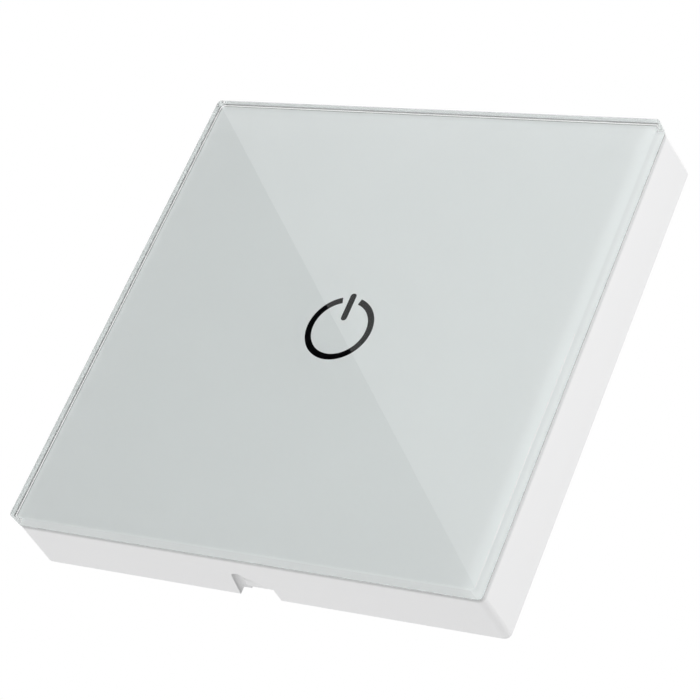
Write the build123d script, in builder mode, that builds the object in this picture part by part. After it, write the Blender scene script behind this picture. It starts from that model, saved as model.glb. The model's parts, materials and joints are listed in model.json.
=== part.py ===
from build123d import *
import os

# Touch-glass smart light switch for a standard 86 mm wall box, one gang, mains powered.
# X points right and Z up, seen from the room. Y points into the wall.
# The origin is the centre of the wall plane, between the two mounting slots.
# A height is a distance out of the wall, so it runs along -Y and is negative inside the wall.
# All sizes are millimetres.

# Glass panel and what is bonded behind it
glass_side = 86.0
glass_thickness = 3.0
glass_corner = 0.35
glass_chamfer = 0.25
glass_rear_chamfer = 0.2
print_thickness = 0.05
print_inset = 0.35
tape_thickness = 0.2
tape_inset = 0.6
tape_width = 7.0

# Power symbol in the print, with the touch spring, light guide and lamps behind it
symbol_across = 0.84
symbol_up = -0.68
symbol_radius = 5.5
symbol_line = 1.1
symbol_gap_angle = 17.0
symbol_bar_bottom = 1.5
symbol_bar_top = 6.75

# Front frame
frame_height = 10.5
frame_front_side = 86.0
frame_rear_side = 86.8
frame_corner = 0.35
frame_cavity_side = 82.3
frame_cavity_corner = 1.0
frame_front_round = 0.07
frame_rear_round = 0.1
deck_thickness = 2.0
boss_radius = 2.5
latch_across = 20.0
latch_up = 35.0
latch_width = 6.0
latch_thickness = 1.4
latch_bead = 0.5
latch_tip = 0.6

# Prising notch through the bottom wall of the frame, and the blind groove that leans away from it
notch_left = -3.0
notch_right = 3.2
notch_depth = 3.2
groove_depth = 1.3
groove_foot_across = -3.7
groove_foot_radius = 0.8
groove_tip_across = -2.3
groove_tip_height = 5.3
groove_tip_radius = 1.15

# Touch board, carried by the frame
touch_board_width = 50.0
touch_board_length = 60.0
touch_board_rear = 5.0
touch_board_front = 6.2
touch_boss_across = 21.0
touch_boss_up = 26.0
touch_screw_radius = 1.0
touch_screw_head_radius = 1.9
touch_screw_head = 1.3
light_guide_radius = 8.0
light_guide_bore = 4.5
light_guide_flange_radius = 9.5
light_guide_fit = 0.1
led_circle = 6.5
spring_radius = 3.4
spring_wire_radius = 0.22
spring_turns = 3

# Mounting plate and wall box housing
plate_side = 80.0
plate_corner = 3.0
plate_edge_round = 0.5
plate_thickness = 2.4
plate_rim_height = 3.6
plate_rim_width = 1.4
mount_spacing = 60.3
mount_slot_half_width = 2.15
mount_slot_travel = 3.0
box_width = 50.0
box_length = 56.0
box_depth = 22.0
box_wall = 1.6
box_corner = 2.5
label_size = (38.0, 26.0)
label_up = 5.0
label_depth = 0.3
post_side = 4.0
bay_top = -16.4

# Inner cover and power board, carried by the housing
cover_thickness = 1.5
cover_edge = 0.3
cover_fit = 0.2
cover_screw_radius = 1.0
cover_screw_head_radius = 2.0
cover_screw_head = 1.3
cover_screw_length = 7.0
power_board_front = -3.0
power_board_thickness = 1.6

# Header between the two boards
header_up = 19.0
header_pins_count = 5
header_pitch = 2.54
pin_side = 0.64
pin_front = 4.4

# Relay, with its long side across
relay_across = -12.5
relay_up = -8.2
relay_width = 18.4
relay_length = 10.2
relay_depth = 15.3
relay_wall = 0.7

# Terminal block
terminal_count = 3
terminal_pitch = 8.0
terminal_low = -26.2
terminal_high = -17.2
terminal_rear = -20.4
terminal_edge_round = 0.4
clamp_width = 6.0
clamp_wall = 0.8
clamp_low = -25.4
clamp_high = -19.4
screw_radius = 1.5
screw_fit = 0.05

# Places and heights that follow from the sizes above
symbol_place = (symbol_across, symbol_up)
deck_rear = frame_height - deck_thickness
print_rear = frame_height + tape_thickness
glass_rear = print_rear + print_thickness
glass_front = glass_rear + glass_thickness
floor_inside = box_wall - box_depth
board_rear = power_board_front - power_board_thickness
box_inside_width = box_width - 2 * box_wall
box_inside_length = box_length - 2 * box_wall
post_across = box_inside_width / 2 - post_side / 2
post_up = box_inside_length / 2 - post_side / 2
terminal_places = [(i - (terminal_count - 1) / 2) * terminal_pitch for i in range(terminal_count)]

os.makedirs("parts", exist_ok=True)


def level(height):
    # Plane parallel to the wall, facing the room, at a height out of the wall
    return Plane.XZ.offset(height)


def block(places, size, start, end, mode=Mode.ADD, corner=0):
    # Rectangular solids between two heights, with round vertical corners if a radius is given
    with BuildSketch(level(start)) as outline:
        with Locations(*places):
            if corner:
                RectangleRounded(*size, corner)
            else:
                Rectangle(*size)
    extrude(outline.sketch, amount=end - start, mode=mode)


def rod(places, radius, start, end, mode=Mode.ADD):
    # Round solids between two heights, square to the wall
    with BuildSketch(level(start)) as outline:
        with Locations(*places):
            Circle(radius)
    extrude(outline.sketch, amount=end - start, mode=mode)


def corners(across, up):
    return [(across, up), (-across, up), (across, -up), (-across, -up)]


def save(piece, label):
    piece.part.label = label
    export_step(piece.part, "parts/" + label + ".step")


# Toughened glass, ground all round with a narrow chamfer
with BuildPart() as glass_panel:
    block([(0, 0)], (glass_side, glass_side), glass_rear, glass_front, corner=glass_corner)
    rims = glass_panel.faces().sort_by(Axis.Y)
    chamfer(rims[0].edges(), glass_chamfer)
    chamfer(glass_panel.faces().sort_by(Axis.Y)[-1].edges(), glass_rear_chamfer)
save(glass_panel, "glass_panel")

# Power symbol: a ring that is open at the top, with an upright bar in the gap
with BuildSketch(level(print_rear)) as symbol_outline:
    with BuildLine() as ring_path:
        CenterArc(symbol_place, symbol_radius, 90 + symbol_gap_angle, 360 - 2 * symbol_gap_angle)
    trace(ring_path.line, line_width=symbol_line)
    with Locations((symbol_across, symbol_up + (symbol_bar_bottom + symbol_bar_top) / 2)):
        SlotOverall(symbol_bar_top - symbol_bar_bottom, symbol_line, rotation=90)

with BuildPart() as power_symbol:
    extrude(symbol_outline.sketch, amount=print_thickness)
save(power_symbol, "power_symbol")

# Enamel print that makes the glass opaque, with the symbol left open
with BuildPart() as back_print:
    print_side = glass_side - 2 * print_inset
    block([(0, 0)], (print_side, print_side), print_rear, glass_rear)
    extrude(symbol_outline.sketch, amount=print_thickness, mode=Mode.SUBTRACT)
save(back_print, "back_print")

# Foam tape that bonds the glass to the frame, a closed square ring
with BuildPart() as adhesive_frame:
    tape_side = glass_side - 2 * tape_inset
    block([(0, 0)], (tape_side, tape_side), frame_height, print_rear)
    tape_opening = tape_side - 2 * tape_width
    block([(0, 0)], (tape_opening, tape_opening), frame_height, print_rear, mode=Mode.SUBTRACT)
save(adhesive_frame, "adhesive_frame")

# White frame: a drafted skirt under a deck that carries the glass
with BuildPart() as front_frame:
    for side, height in [(frame_rear_side, 0), (frame_front_side, frame_height)]:
        with BuildSketch(level(height)):
            RectangleRounded(side, side, frame_corner)
    loft(ruled=True)
    fillet(front_frame.faces().sort_by(Axis.Y)[0].edges(), frame_front_round)
    fillet(front_frame.faces().sort_by(Axis.Y)[-1].edges(), frame_rear_round)
    cavity = (frame_cavity_side, frame_cavity_side)
    block([(0, 0)], cavity, 0, deck_rear, mode=Mode.SUBTRACT, corner=frame_cavity_corner)
    touch_bosses = corners(touch_boss_across, touch_boss_up)
    rod(touch_bosses, boss_radius, touch_board_front, deck_rear)
    rod(touch_bosses, touch_screw_radius, touch_board_front, frame_height - 0.8, mode=Mode.SUBTRACT)
    rod([symbol_place], light_guide_radius + light_guide_fit, deck_rear, frame_height, mode=Mode.SUBTRACT)
    # Latch arms reach down to the mounting plate, each with a small bead on its outer side
    block(corners(latch_across, latch_up), (latch_width, latch_thickness), latch_tip, deck_rear)
    bead_up = latch_up + latch_thickness / 2
    block(corners(latch_across, bead_up), (latch_width, latch_bead), latch_tip, latch_tip + 1.0)
    # Notch through the bottom wall, and the round-ended groove that guides the screwdriver to it
    notch_place = ((notch_left + notch_right) / 2, -(frame_rear_side + frame_cavity_side) / 4)
    notch_size = (notch_right - notch_left, (frame_rear_side - frame_cavity_side) / 2 + 1.0)
    block([notch_place], notch_size, 0, notch_depth, mode=Mode.SUBTRACT)
    with BuildSketch(Plane.XY.offset(-frame_rear_side / 2)) as groove_outline:
        with Locations((groove_foot_across, 0)):
            Circle(groove_foot_radius)
        with Locations((groove_tip_across, -groove_tip_height)):
            Circle(groove_tip_radius)
        make_hull()
    extrude(groove_outline.sketch, amount=groove_depth, mode=Mode.SUBTRACT)
save(front_frame, "front_frame")

# Ring-shaped diffuser between the lamps and the symbol
with BuildPart() as light_guide:
    rod([symbol_place], light_guide_radius, deck_rear, print_rear)
    rod([symbol_place], light_guide_flange_radius, deck_rear - 0.7, deck_rear)
    rod([symbol_place], light_guide_bore, deck_rear - 0.7, print_rear, mode=Mode.SUBTRACT)
save(light_guide, "light_guide")

# Printed circuit board of the touch module
with BuildPart() as touch_board:
    outline_size = (touch_board_width, touch_board_length)
    block([(0, 0)], outline_size, touch_board_rear, touch_board_front, corner=1.5)
    board_holes = corners(touch_boss_across, touch_boss_up)
    rod(board_holes, touch_screw_radius + 0.15, touch_board_rear, touch_board_front, mode=Mode.SUBTRACT)
save(touch_board, "touch_board")

# Self-tapping screws that hold the touch board to the frame
with BuildPart() as touch_board_screws:
    screw_places = corners(touch_boss_across, touch_boss_up)
    head_start = touch_board_rear - touch_screw_head
    rod(screw_places, touch_screw_head_radius, head_start, touch_board_rear)
    rod(screw_places, touch_screw_radius, touch_board_rear, frame_height - 1.0)
    chamfer(touch_board_screws.faces().group_by(Axis.Y)[-1].edges(), 0.3)
    for turn in (0, 90):
        with BuildSketch(level(head_start)) as recess:
            with Locations(*screw_places):
                Rectangle(2.0, 0.45, rotation=turn)
        extrude(recess.sketch, amount=0.7, mode=Mode.SUBTRACT)
save(touch_board_screws, "touch_board_screws")


# Touch spring: one wire wound into a coil between the board and the print.
# Each quarter turn of the helix is two arcs that share their tangent where they meet.
def helix_point(quarter, bottom, rise):
    turned = Vector(spring_radius, 0, 0).rotate(Axis.Y, 90 * quarter)
    return Vector(symbol_across + turned.X, -(bottom + rise * quarter), symbol_up + turned.Z)


def helix_tangent(quarter, rise):
    along = Vector(0, 0, -spring_radius * 3.14159265 / 2).rotate(Axis.Y, 90 * quarter)
    return Vector(along.X, -rise, along.Z).normalized()


with BuildPart() as touch_spring:
    coil_bottom = touch_board_front + 0.45
    quarters = 4 * spring_turns
    rise_per_quarter = (print_rear - 0.45 - coil_bottom) / quarters
    with BuildLine() as coil_path:
        for q in range(quarters):
            first = helix_point(q, coil_bottom, rise_per_quarter)
            last = helix_point(q + 1, coil_bottom, rise_per_quarter)
            leave = helix_tangent(q, rise_per_quarter)
            arrive = helix_tangent(q + 1, rise_per_quarter)
            span = last - first
            turn_factor = 2 * (1 - leave.dot(arrive))
            along_both = span.dot(leave + arrive)
            reach = ((along_both**2 + turn_factor * span.dot(span)) ** 0.5 - along_both) / turn_factor
            middle = (first + leave * reach + last - arrive * reach) * 0.5
            TangentArc(first, middle, tangent=leave)
            TangentArc(middle, last, tangent=(last - arrive * reach - middle).normalized())
    coil_start = Plane(helix_point(0, coil_bottom, rise_per_quarter),
                       z_dir=helix_tangent(0, rise_per_quarter))
    with BuildSketch(coil_start):
        Circle(spring_wire_radius)
    sweep(path=coil_path.line)
    # Flat closed end turns: one soldered to the board, one against the print
    for start, end in [(touch_board_front, coil_bottom), (print_rear - 0.45, print_rear)]:
        rod([symbol_place], spring_radius + 0.3, start, end)
        rod([symbol_place], spring_radius - 0.3, start, end, mode=Mode.SUBTRACT)
save(touch_spring, "touch_spring")

# Indicator lamps around the symbol
with BuildPart() as indicator_leds:
    lamp_places = [(symbol_across + x, symbol_up + z)
                   for x, z in [(led_circle, 0), (-led_circle, 0), (0, led_circle), (0, -led_circle)]]
    block(lamp_places, (2.0, 1.25), touch_board_front, touch_board_front + 0.4)
    block(lamp_places, (1.3, 1.15), touch_board_front + 0.4, touch_board_front + 0.7)
save(indicator_leds, "indicator_leds")


def small_chip(places, body, leads_per_side, pitch, surface, thickness):
    # Surface-mount chip with gull-wing leads, hanging from the rear surface of a board
    block(places, body, surface - thickness, surface - 0.1)
    for side in (-1, 1):
        for lead in range(leads_per_side):
            shift = (lead - (leads_per_side - 1) / 2) * pitch
            feet = [(x + side * (body[0] / 2 + 0.5), z + shift) for x, z in places]
            block(feet, (1.0, 0.4), surface - 0.25, surface)
            knees = [(x + side * (body[0] / 2 + 0.15), z + shift) for x, z in places]
            block(knees, (0.3, 0.4), surface - thickness / 2, surface)


# Touch controller, on the side of the board away from the glass
with BuildPart() as touch_chip:
    small_chip([(12.0, 6.0)], (3.9, 4.9), 4, 1.27, touch_board_rear, 1.5)
save(touch_chip, "touch_chip")

# Voltage regulator with its wide tab
with BuildPart() as voltage_regulator:
    small_chip([(13.0, -6.5)], (3.5, 6.5), 3, 2.3, touch_board_rear, 1.6)
save(voltage_regulator, "voltage_regulator")

# Radio module: its own small board, soldered flat, with the aerial end left clear of the can
radio_size = (16.0, 24.0)
radio_place = (-6.0, -8.0)
with BuildPart() as radio_board:
    block([radio_place], radio_size, touch_board_rear - 0.8, touch_board_rear)
    edge_pads = [(radio_place[0] + side * radio_size[0] / 2, radio_place[1] - 8.0 + 2.0 * pad)
                 for side in (-1, 1) for pad in range(8)]
    rod(edge_pads, 0.4, touch_board_rear - 0.8, touch_board_rear, mode=Mode.SUBTRACT)
save(radio_board, "radio_board")

with BuildPart() as radio_shield:
    can_place = (radio_place[0], radio_place[1] - 2.5)
    can_top = touch_board_rear - 0.8
    block([can_place], (12.6, 16.0), can_top - 2.2, can_top, corner=0.6)
    fillet(radio_shield.faces().sort_by(Axis.Y)[-1].edges(), 0.3)
    block([can_place], (12.2, 15.6), can_top - 2.0, can_top, mode=Mode.SUBTRACT)
save(radio_shield, "radio_shield")

# Chip capacitors and resistors of the touch board
with BuildPart() as board_capacitors:
    chip_places = [(12.0, 11.5), (12.0, 14.0), (17.5, 3.0), (17.5, 6.0), (17.5, 9.0),
                   (7.0, -15.0), (10.5, -15.0), (14.0, -15.0), (17.5, -13.0), (-18.0, 12.0), (-18.0, 15.0)]
    block(chip_places, (1.1, 1.25), touch_board_rear - 0.75, touch_board_rear)
    block(chip_places, (2.0, 1.25), touch_board_rear - 0.7, touch_board_rear)
save(board_capacitors, "board_capacitors")

# Socket on the touch board that receives the header pins
header_places = [((i - (header_pins_count - 1) / 2) * header_pitch, header_up)
                 for i in range(header_pins_count)]
header_length = header_pins_count * header_pitch
with BuildPart() as board_socket:
    block([(0, header_up)], (header_length, 2.5), touch_board_rear - 3.5, touch_board_rear)
    socket_hole = pin_side + 0.1
    block(header_places, (socket_hole, socket_hole), touch_board_rear - 3.5, pin_front + 0.2,
          mode=Mode.SUBTRACT)
save(board_socket, "board_socket")

# Housing: mounting plate and wall box in one moulding.
# The box is open to the front, where the inner cover closes it, and open behind the terminals.
with BuildPart() as base_housing:
    block([(0, 0)], (plate_side, plate_side), 0, plate_rim_height, corner=plate_corner)
    fillet(base_housing.faces().sort_by(Axis.Y)[0].edges(), plate_edge_round)
    rim_inside = plate_side - 2 * plate_rim_width
    block([(0, 0)], (rim_inside, rim_inside), plate_thickness, plate_rim_height, mode=Mode.SUBTRACT,
          corner=plate_corner - plate_rim_width)
    block([(0, 0)], (box_width, box_length), -box_depth, 0, corner=box_corner)
    box_floor = base_housing.faces().sort_by(Axis.Y)[-1]
    fillet(box_floor.edges(), 1.0)
    block([(0, 0)], (box_inside_width, box_inside_length), floor_inside, plate_thickness,
          mode=Mode.SUBTRACT, corner=box_corner - box_wall)
    # Shallow field for the type label in the middle of the box floor
    block([(0, label_up)], label_size, -box_depth, label_depth - box_depth, mode=Mode.SUBTRACT, corner=1.0)
    # Terminal bay: the box floor and the lower wall are open at the terminals
    bay_length = bay_top + box_length / 2
    bay_middle = (bay_top - box_length / 2) / 2
    bay_width = terminal_count * terminal_pitch + 2.4
    block([(0, bay_middle)], (bay_width, bay_length), -box_depth, floor_inside, mode=Mode.SUBTRACT)
    block([(0, -box_length / 2)], (bay_width, 2 * box_wall + 0.2), -box_depth, board_rear,
          mode=Mode.SUBTRACT)
    # Walls between the bay and the sealed part of the box
    wall_high = board_rear - 0.3
    block([(0, bay_top + box_wall / 2)], (bay_width + 2 * box_wall, box_wall), -box_depth, wall_high)
    bay_walls = [(side * (bay_width + box_wall) / 2, bay_middle) for side in (-1, 1)]
    block(bay_walls, (box_wall, bay_length - box_wall), floor_inside, wall_high)
    # Corner posts carry the inner cover, and the ledges beside them carry the power board
    posts = corners(post_across, post_up)
    block(posts, (post_side, post_side), floor_inside, -cover_thickness)
    ledges = corners(post_across, post_up - post_side / 2 - 1.5)
    block(ledges, (post_side, 3.0), floor_inside, board_rear)
    rod(posts, cover_screw_radius, -cover_thickness - cover_screw_length, -cover_thickness,
        mode=Mode.SUBTRACT)
    # Openings for the latch arms, and two slots for the wall screws
    latch_openings = corners(latch_across, latch_up + latch_bead / 2)
    latch_opening_size = (latch_width + 1.0, latch_thickness + latch_bead + 1.0)
    block(latch_openings, latch_opening_size, 0, plate_thickness, mode=Mode.SUBTRACT)
    with BuildSketch(level(0)):
        with GridLocations(mount_spacing, 0, 2, 1):
            SlotCenterToCenter(mount_slot_travel, 2 * mount_slot_half_width)
    extrude(amount=plate_thickness, mode=Mode.SUBTRACT)
    # Stiffening ribs across the plate, above and below the box
    for side in (-1, 1):
        block([(x, side * 33.0) for x in (-30, -10, 10, 30)], (1.2, 9.0), plate_thickness, 3.4)
save(base_housing, "base_housing")

# Inner cover that closes the mains side, with an opening for the header and cooling slots
with BuildPart() as inner_cover:
    cover_size = (box_inside_width - 2 * cover_fit, box_inside_length - 2 * cover_fit)
    block([(0, 0)], cover_size, -cover_thickness, 0, corner=0.8)
    chamfer(inner_cover.faces().sort_by(Axis.Y)[0].edges(), cover_edge)
    rod(corners(post_across, post_up), cover_screw_radius + 0.15, -cover_thickness, 0, mode=Mode.SUBTRACT)
    block([(0, header_up)], (header_length + 1.0, 3.6), -cover_thickness, 0, mode=Mode.SUBTRACT)
    cooling_slots = [(4.0 * i, 8.0) for i in range(-3, 4)]
    block(cooling_slots, (1.4, 9.0), -cover_thickness, 0, mode=Mode.SUBTRACT)
save(inner_cover, "inner_cover")

with BuildPart() as cover_screws:
    cover_places = corners(post_across, post_up)
    rod(cover_places, cover_screw_head_radius, 0, cover_screw_head)
    rod(cover_places, cover_screw_radius, 0.4 - cover_thickness - cover_screw_length, 0)
    fillet(cover_screws.faces().group_by(Axis.Y)[0].edges(), 0.4)
    for turn in (0, 90):
        with BuildSketch(level(cover_screw_head)) as recess:
            with Locations(*cover_places):
                Rectangle(2.2, 0.5, rotation=turn)
        extrude(recess.sketch, amount=-0.8, mode=Mode.SUBTRACT)
save(cover_screws, "cover_screws")

# Power board, notched at its corners for the posts
with BuildPart() as power_board:
    board_size = (box_inside_width - 0.4, box_inside_length - 0.4)
    block([(0, 0)], board_size, board_rear, power_board_front)
    block(corners(board_size[0] / 2, board_size[1] / 2), (2 * post_side + 0.4, 2 * post_side + 0.4),
          board_rear, power_board_front, mode=Mode.SUBTRACT)
save(power_board, "power_board")

# Header: plastic strip on the front of the power board, with square pins
with BuildPart() as header_strip:
    strip_top = power_board_front + 2.5
    block([(0, header_up)], (header_length, 2.5), power_board_front, strip_top)
    block(header_places, (pin_side, pin_side), power_board_front, strip_top, mode=Mode.SUBTRACT)
save(header_strip, "header_strip")

with BuildPart() as header_pins:
    block(header_places, (pin_side, pin_side), power_board_front, pin_front)
    chamfer(header_pins.faces().group_by(Axis.Y)[0].edges(), 0.15)
save(header_pins, "header_pins")

# Relay heights, measured from the rear face of the power board towards the box floor
relay_place = (relay_across, relay_up)
relay_foot = board_rear
relay_deck = relay_foot - 1.2
relay_inside = (relay_width - 2 * relay_wall, relay_length - 2 * relay_wall)
coil_across = relay_across - 3.4
coil_low = relay_deck - 1.6
coil_high = coil_low - 8.4
pole_face = coil_high - 0.9
armature_front = pole_face - 0.4
armature_rear = armature_front - 1.0
hinge_across = relay_across - 7.6
contact_across = relay_across + 6.2

with BuildPart() as relay_base:
    block([relay_place], relay_inside, relay_deck, relay_foot)
save(relay_base, "relay_base")

with BuildPart() as relay_case:
    block([relay_place], (relay_width, relay_length), relay_foot - relay_depth, relay_foot - 0.2)
    fillet(relay_case.faces().sort_by(Axis.Y)[-1].edges(), 0.6)
    block([relay_place], relay_inside, relay_foot - relay_depth + relay_wall, relay_foot - 0.2,
          mode=Mode.SUBTRACT)
save(relay_case, "relay_case")

# L-shaped iron yoke: a foot under the coil, and a post whose rounded edge carries the armature
yoke_length = 6.0
yoke_thickness = 1.0
hinge_height = armature_front + 0.12 + yoke_thickness / 2
with BuildPart() as relay_yoke:
    yoke_foot_middle = (hinge_across + coil_across + 3.0) / 2
    yoke_foot_width = coil_across + 3.0 - hinge_across + yoke_thickness / 2
    block([(yoke_foot_middle, relay_up)], (yoke_foot_width, yoke_length), relay_deck - yoke_thickness,
          relay_deck)
    block([(hinge_across, relay_up)], (yoke_thickness, yoke_length), hinge_height, relay_deck)
    with BuildSketch(Plane.XY.offset(relay_up - yoke_length / 2)) as yoke_edge:
        with Locations((hinge_across, -hinge_height)):
            Circle(yoke_thickness / 2)
    extrude(yoke_edge.sketch, amount=yoke_length)
    rod([(coil_across, relay_up)], 1.4, relay_deck - yoke_thickness, relay_deck, mode=Mode.SUBTRACT)
save(relay_yoke, "relay_yoke")

with BuildPart() as relay_core:
    rod([(coil_across, relay_up)], 1.4, pole_face, relay_deck)
    rod([(coil_across, relay_up)], 2.6, pole_face, pole_face + 0.6)
save(relay_core, "relay_core")

with BuildPart() as relay_bobbin:
    rod([(coil_across, relay_up)], 2.1, coil_high, coil_low)
    rod([(coil_across, relay_up)], 3.5, coil_low - 0.6, coil_low)
    rod([(coil_across, relay_up)], 3.5, coil_high, coil_high + 0.6)
    rod([(coil_across, relay_up)], 1.4, coil_high, coil_low, mode=Mode.SUBTRACT)
save(relay_bobbin, "relay_bobbin")

with BuildPart() as relay_winding:
    rod([(coil_across, relay_up)], 3.2, coil_high + 0.6, coil_low - 0.6)
    rod([(coil_across, relay_up)], 2.1, coil_high + 0.6, coil_low - 0.6, mode=Mode.SUBTRACT)
save(relay_winding, "relay_winding")

# Armature: iron plate that rocks on the top of the yoke
with BuildPart() as relay_armature:
    armature_end = coil_across + 3.2
    armature_middle = (hinge_across - 0.4 + armature_end) / 2
    block([(armature_middle, relay_up)], (armature_end - hinge_across + 0.4, 5.6),
          armature_rear, armature_front)
save(relay_armature, "relay_armature")

# Contact spring on the back of the armature, with a silver button at its free end
contact_face = armature_front + 0.1
with BuildPart() as relay_moving_contact:
    leaf_end = contact_across + 1.4
    leaf_start = coil_across - 1.6
    leaf_rear = armature_rear - 0.25
    block([((leaf_start + leaf_end) / 2, relay_up)], (leaf_end - leaf_start, 4.0), leaf_rear, armature_rear)
    rod([(contact_across, relay_up)], 1.1, armature_rear, contact_face)
save(relay_moving_contact, "relay_moving_contact")

with BuildPart() as relay_fixed_contact:
    fixed_face = contact_face + 0.87
    blade_across = contact_across + 1.2
    block([(blade_across, relay_up)], (0.6, 3.6), fixed_face + 0.6, relay_deck)
    block([(contact_across, relay_up)], (3.0, 3.6), fixed_face + 0.6, fixed_face + 1.2)
    rod([(contact_across, relay_up)], 1.1, fixed_face, fixed_face + 0.6)
save(relay_fixed_contact, "relay_fixed_contact")

# Switching-supply transformer: an E core, a bobbin with two flanges and the wound copper
transformer_place = (-14.2, 6.0)
transformer_low = board_rear - 1.2
transformer_high = transformer_low - 11.0
with BuildPart() as transformer_core:
    block([transformer_place], (13.0, 6.0), transformer_high, transformer_low)
    windows = [(transformer_place[0] + side * 3.9, transformer_place[1]) for side in (-1, 1)]
    block(windows, (2.8, 6.0), transformer_high + 2.2, transformer_low - 2.2, mode=Mode.SUBTRACT)
save(transformer_core, "transformer_core")

with BuildPart() as transformer_winding:
    wound = (transformer_high + 3.0, transformer_low - 3.0)
    block([transformer_place], (9.8, 10.6), *wound, corner=1.5)
    block([transformer_place], (6.8, 7.8), *wound, mode=Mode.SUBTRACT)
save(transformer_winding, "transformer_winding")

with BuildPart() as transformer_bobbin:
    block([transformer_place], (6.8, 7.8), transformer_high + 2.2, transformer_low - 2.2)
    for start, end in [(transformer_high + 2.2, transformer_high + 3.0),
                       (transformer_low - 3.0, transformer_low - 2.2)]:
        block([transformer_place], (10.2, 11.0), start, end, corner=0.8)
    feet = [(transformer_place[0], transformer_place[1] + side * 4.4) for side in (-1, 1)]
    block(feet, (10.2, 2.2), transformer_low - 2.2, board_rear)
    block([transformer_place], (5.0, 6.0), transformer_high + 2.2, transformer_low - 2.2,
          mode=Mode.SUBTRACT)
    block(windows, (0.4, 6.0), transformer_high + 2.2, transformer_low - 2.2, mode=Mode.SUBTRACT)
save(transformer_bobbin, "transformer_bobbin")

# Electrolytic capacitors, standing, with the rolled groove near the seal
capacitors = [((-1.6, 4.4), 4.0, 12.0), ((-1.6, 13.4), 4.0, 12.0), ((15.0, 13.8), 3.15, 11.0)]
with BuildPart() as electrolytic_capacitors:
    for place, radius, tall in capacitors:
        rod([place], radius, board_rear - tall, board_rear)
        rod([place], radius, board_rear - 2.4, board_rear - 1.8, mode=Mode.SUBTRACT)
        rod([place], radius - 0.35, board_rear - 2.4, board_rear - 1.8)
save(electrolytic_capacitors, "electrolytic_capacitors")

with BuildPart() as film_capacitor:
    block([(14.6, -9.6)], (13.0, 6.0), board_rear - 12.0, board_rear - 0.3)
    fillet(film_capacitor.edges().filter_by(Axis.Y), 0.4)
save(film_capacitor, "film_capacitor")

# Surge varistor: a coated disc standing on edge
varistor_place = (3.2, -8.6)
varistor_centre = board_rear - 5.4
with BuildPart() as varistor:
    with BuildSketch(Plane.YZ.offset(varistor_place[0] - 1.8)):
        with Locations((-varistor_centre, varistor_place[1])):
            Circle(3.9)
    extrude(amount=3.6)
    fillet(varistor.edges(), 1.0)
save(varistor, "varistor")

fuse_place = (14.6, -2.6)
with BuildPart() as fuse_resistor:
    with BuildSketch(Plane.YZ.offset(fuse_place[0] - 4.5)):
        with Locations((-(board_rear - 2.2), fuse_place[1])):
            Circle(1.7)
    extrude(amount=9.0)
    fillet(fuse_resistor.edges(), 0.6)
save(fuse_resistor, "fuse_resistor")

with BuildPart() as bridge_rectifier:
    small_chip([(7.2, 1.6)], (3.9, 4.7), 2, 2.5, board_rear, 2.4)
save(bridge_rectifier, "bridge_rectifier")

with BuildPart() as converter_chip:
    small_chip([(7.2, 8.6)], (3.9, 4.9), 4, 1.27, board_rear, 1.6)
save(converter_chip, "converter_chip")

with BuildPart() as output_diode:
    small_chip([(7.2, 15.0)], (4.4, 2.6), 1, 1.0, board_rear, 2.2)
save(output_diode, "output_diode")

# Filter choke: a ferrite drum with its winding in the waist, in one shrink sleeve
with BuildPart() as filter_choke:
    rod([(15.2, 4.6)], 3.0, board_rear - 8.5, board_rear)
    fillet(filter_choke.faces().sort_by(Axis.Y)[-1].edges(), 0.5)
save(filter_choke, "filter_choke")

# Solder joints where the leads come through to the front of the power board
with BuildPart() as component_leads:
    lead_places = [(relay_across + side * 7.0, relay_up + 3.0) for side in (-1, 1)]
    lead_places += [(relay_across + side * 7.0, relay_up - 3.0) for side in (-1, 1)]
    lead_places += [(transformer_place[0] + 3.6 * i, transformer_place[1] + side * 4.4)
                    for i in (-1, 0, 1) for side in (-1, 1)]
    lead_places += [(place[0] + side * 1.75, place[1]) for place, _, _ in capacitors for side in (-1, 1)]
    lead_places += [(14.6 + side * 5.0, -9.6) for side in (-1, 1)]
    lead_places += [(varistor_place[0], varistor_place[1] + side * 2.5) for side in (-1, 1)]
    lead_places += [(fuse_place[0] + side * 6.2, fuse_place[1]) for side in (-1, 1)]
    with BuildSketch(level(power_board_front)) as solder_outline:
        with Locations(*lead_places):
            Circle(0.9)
    extrude(solder_outline.sketch, amount=0.8, taper=30)
save(component_leads, "component_leads")

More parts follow.
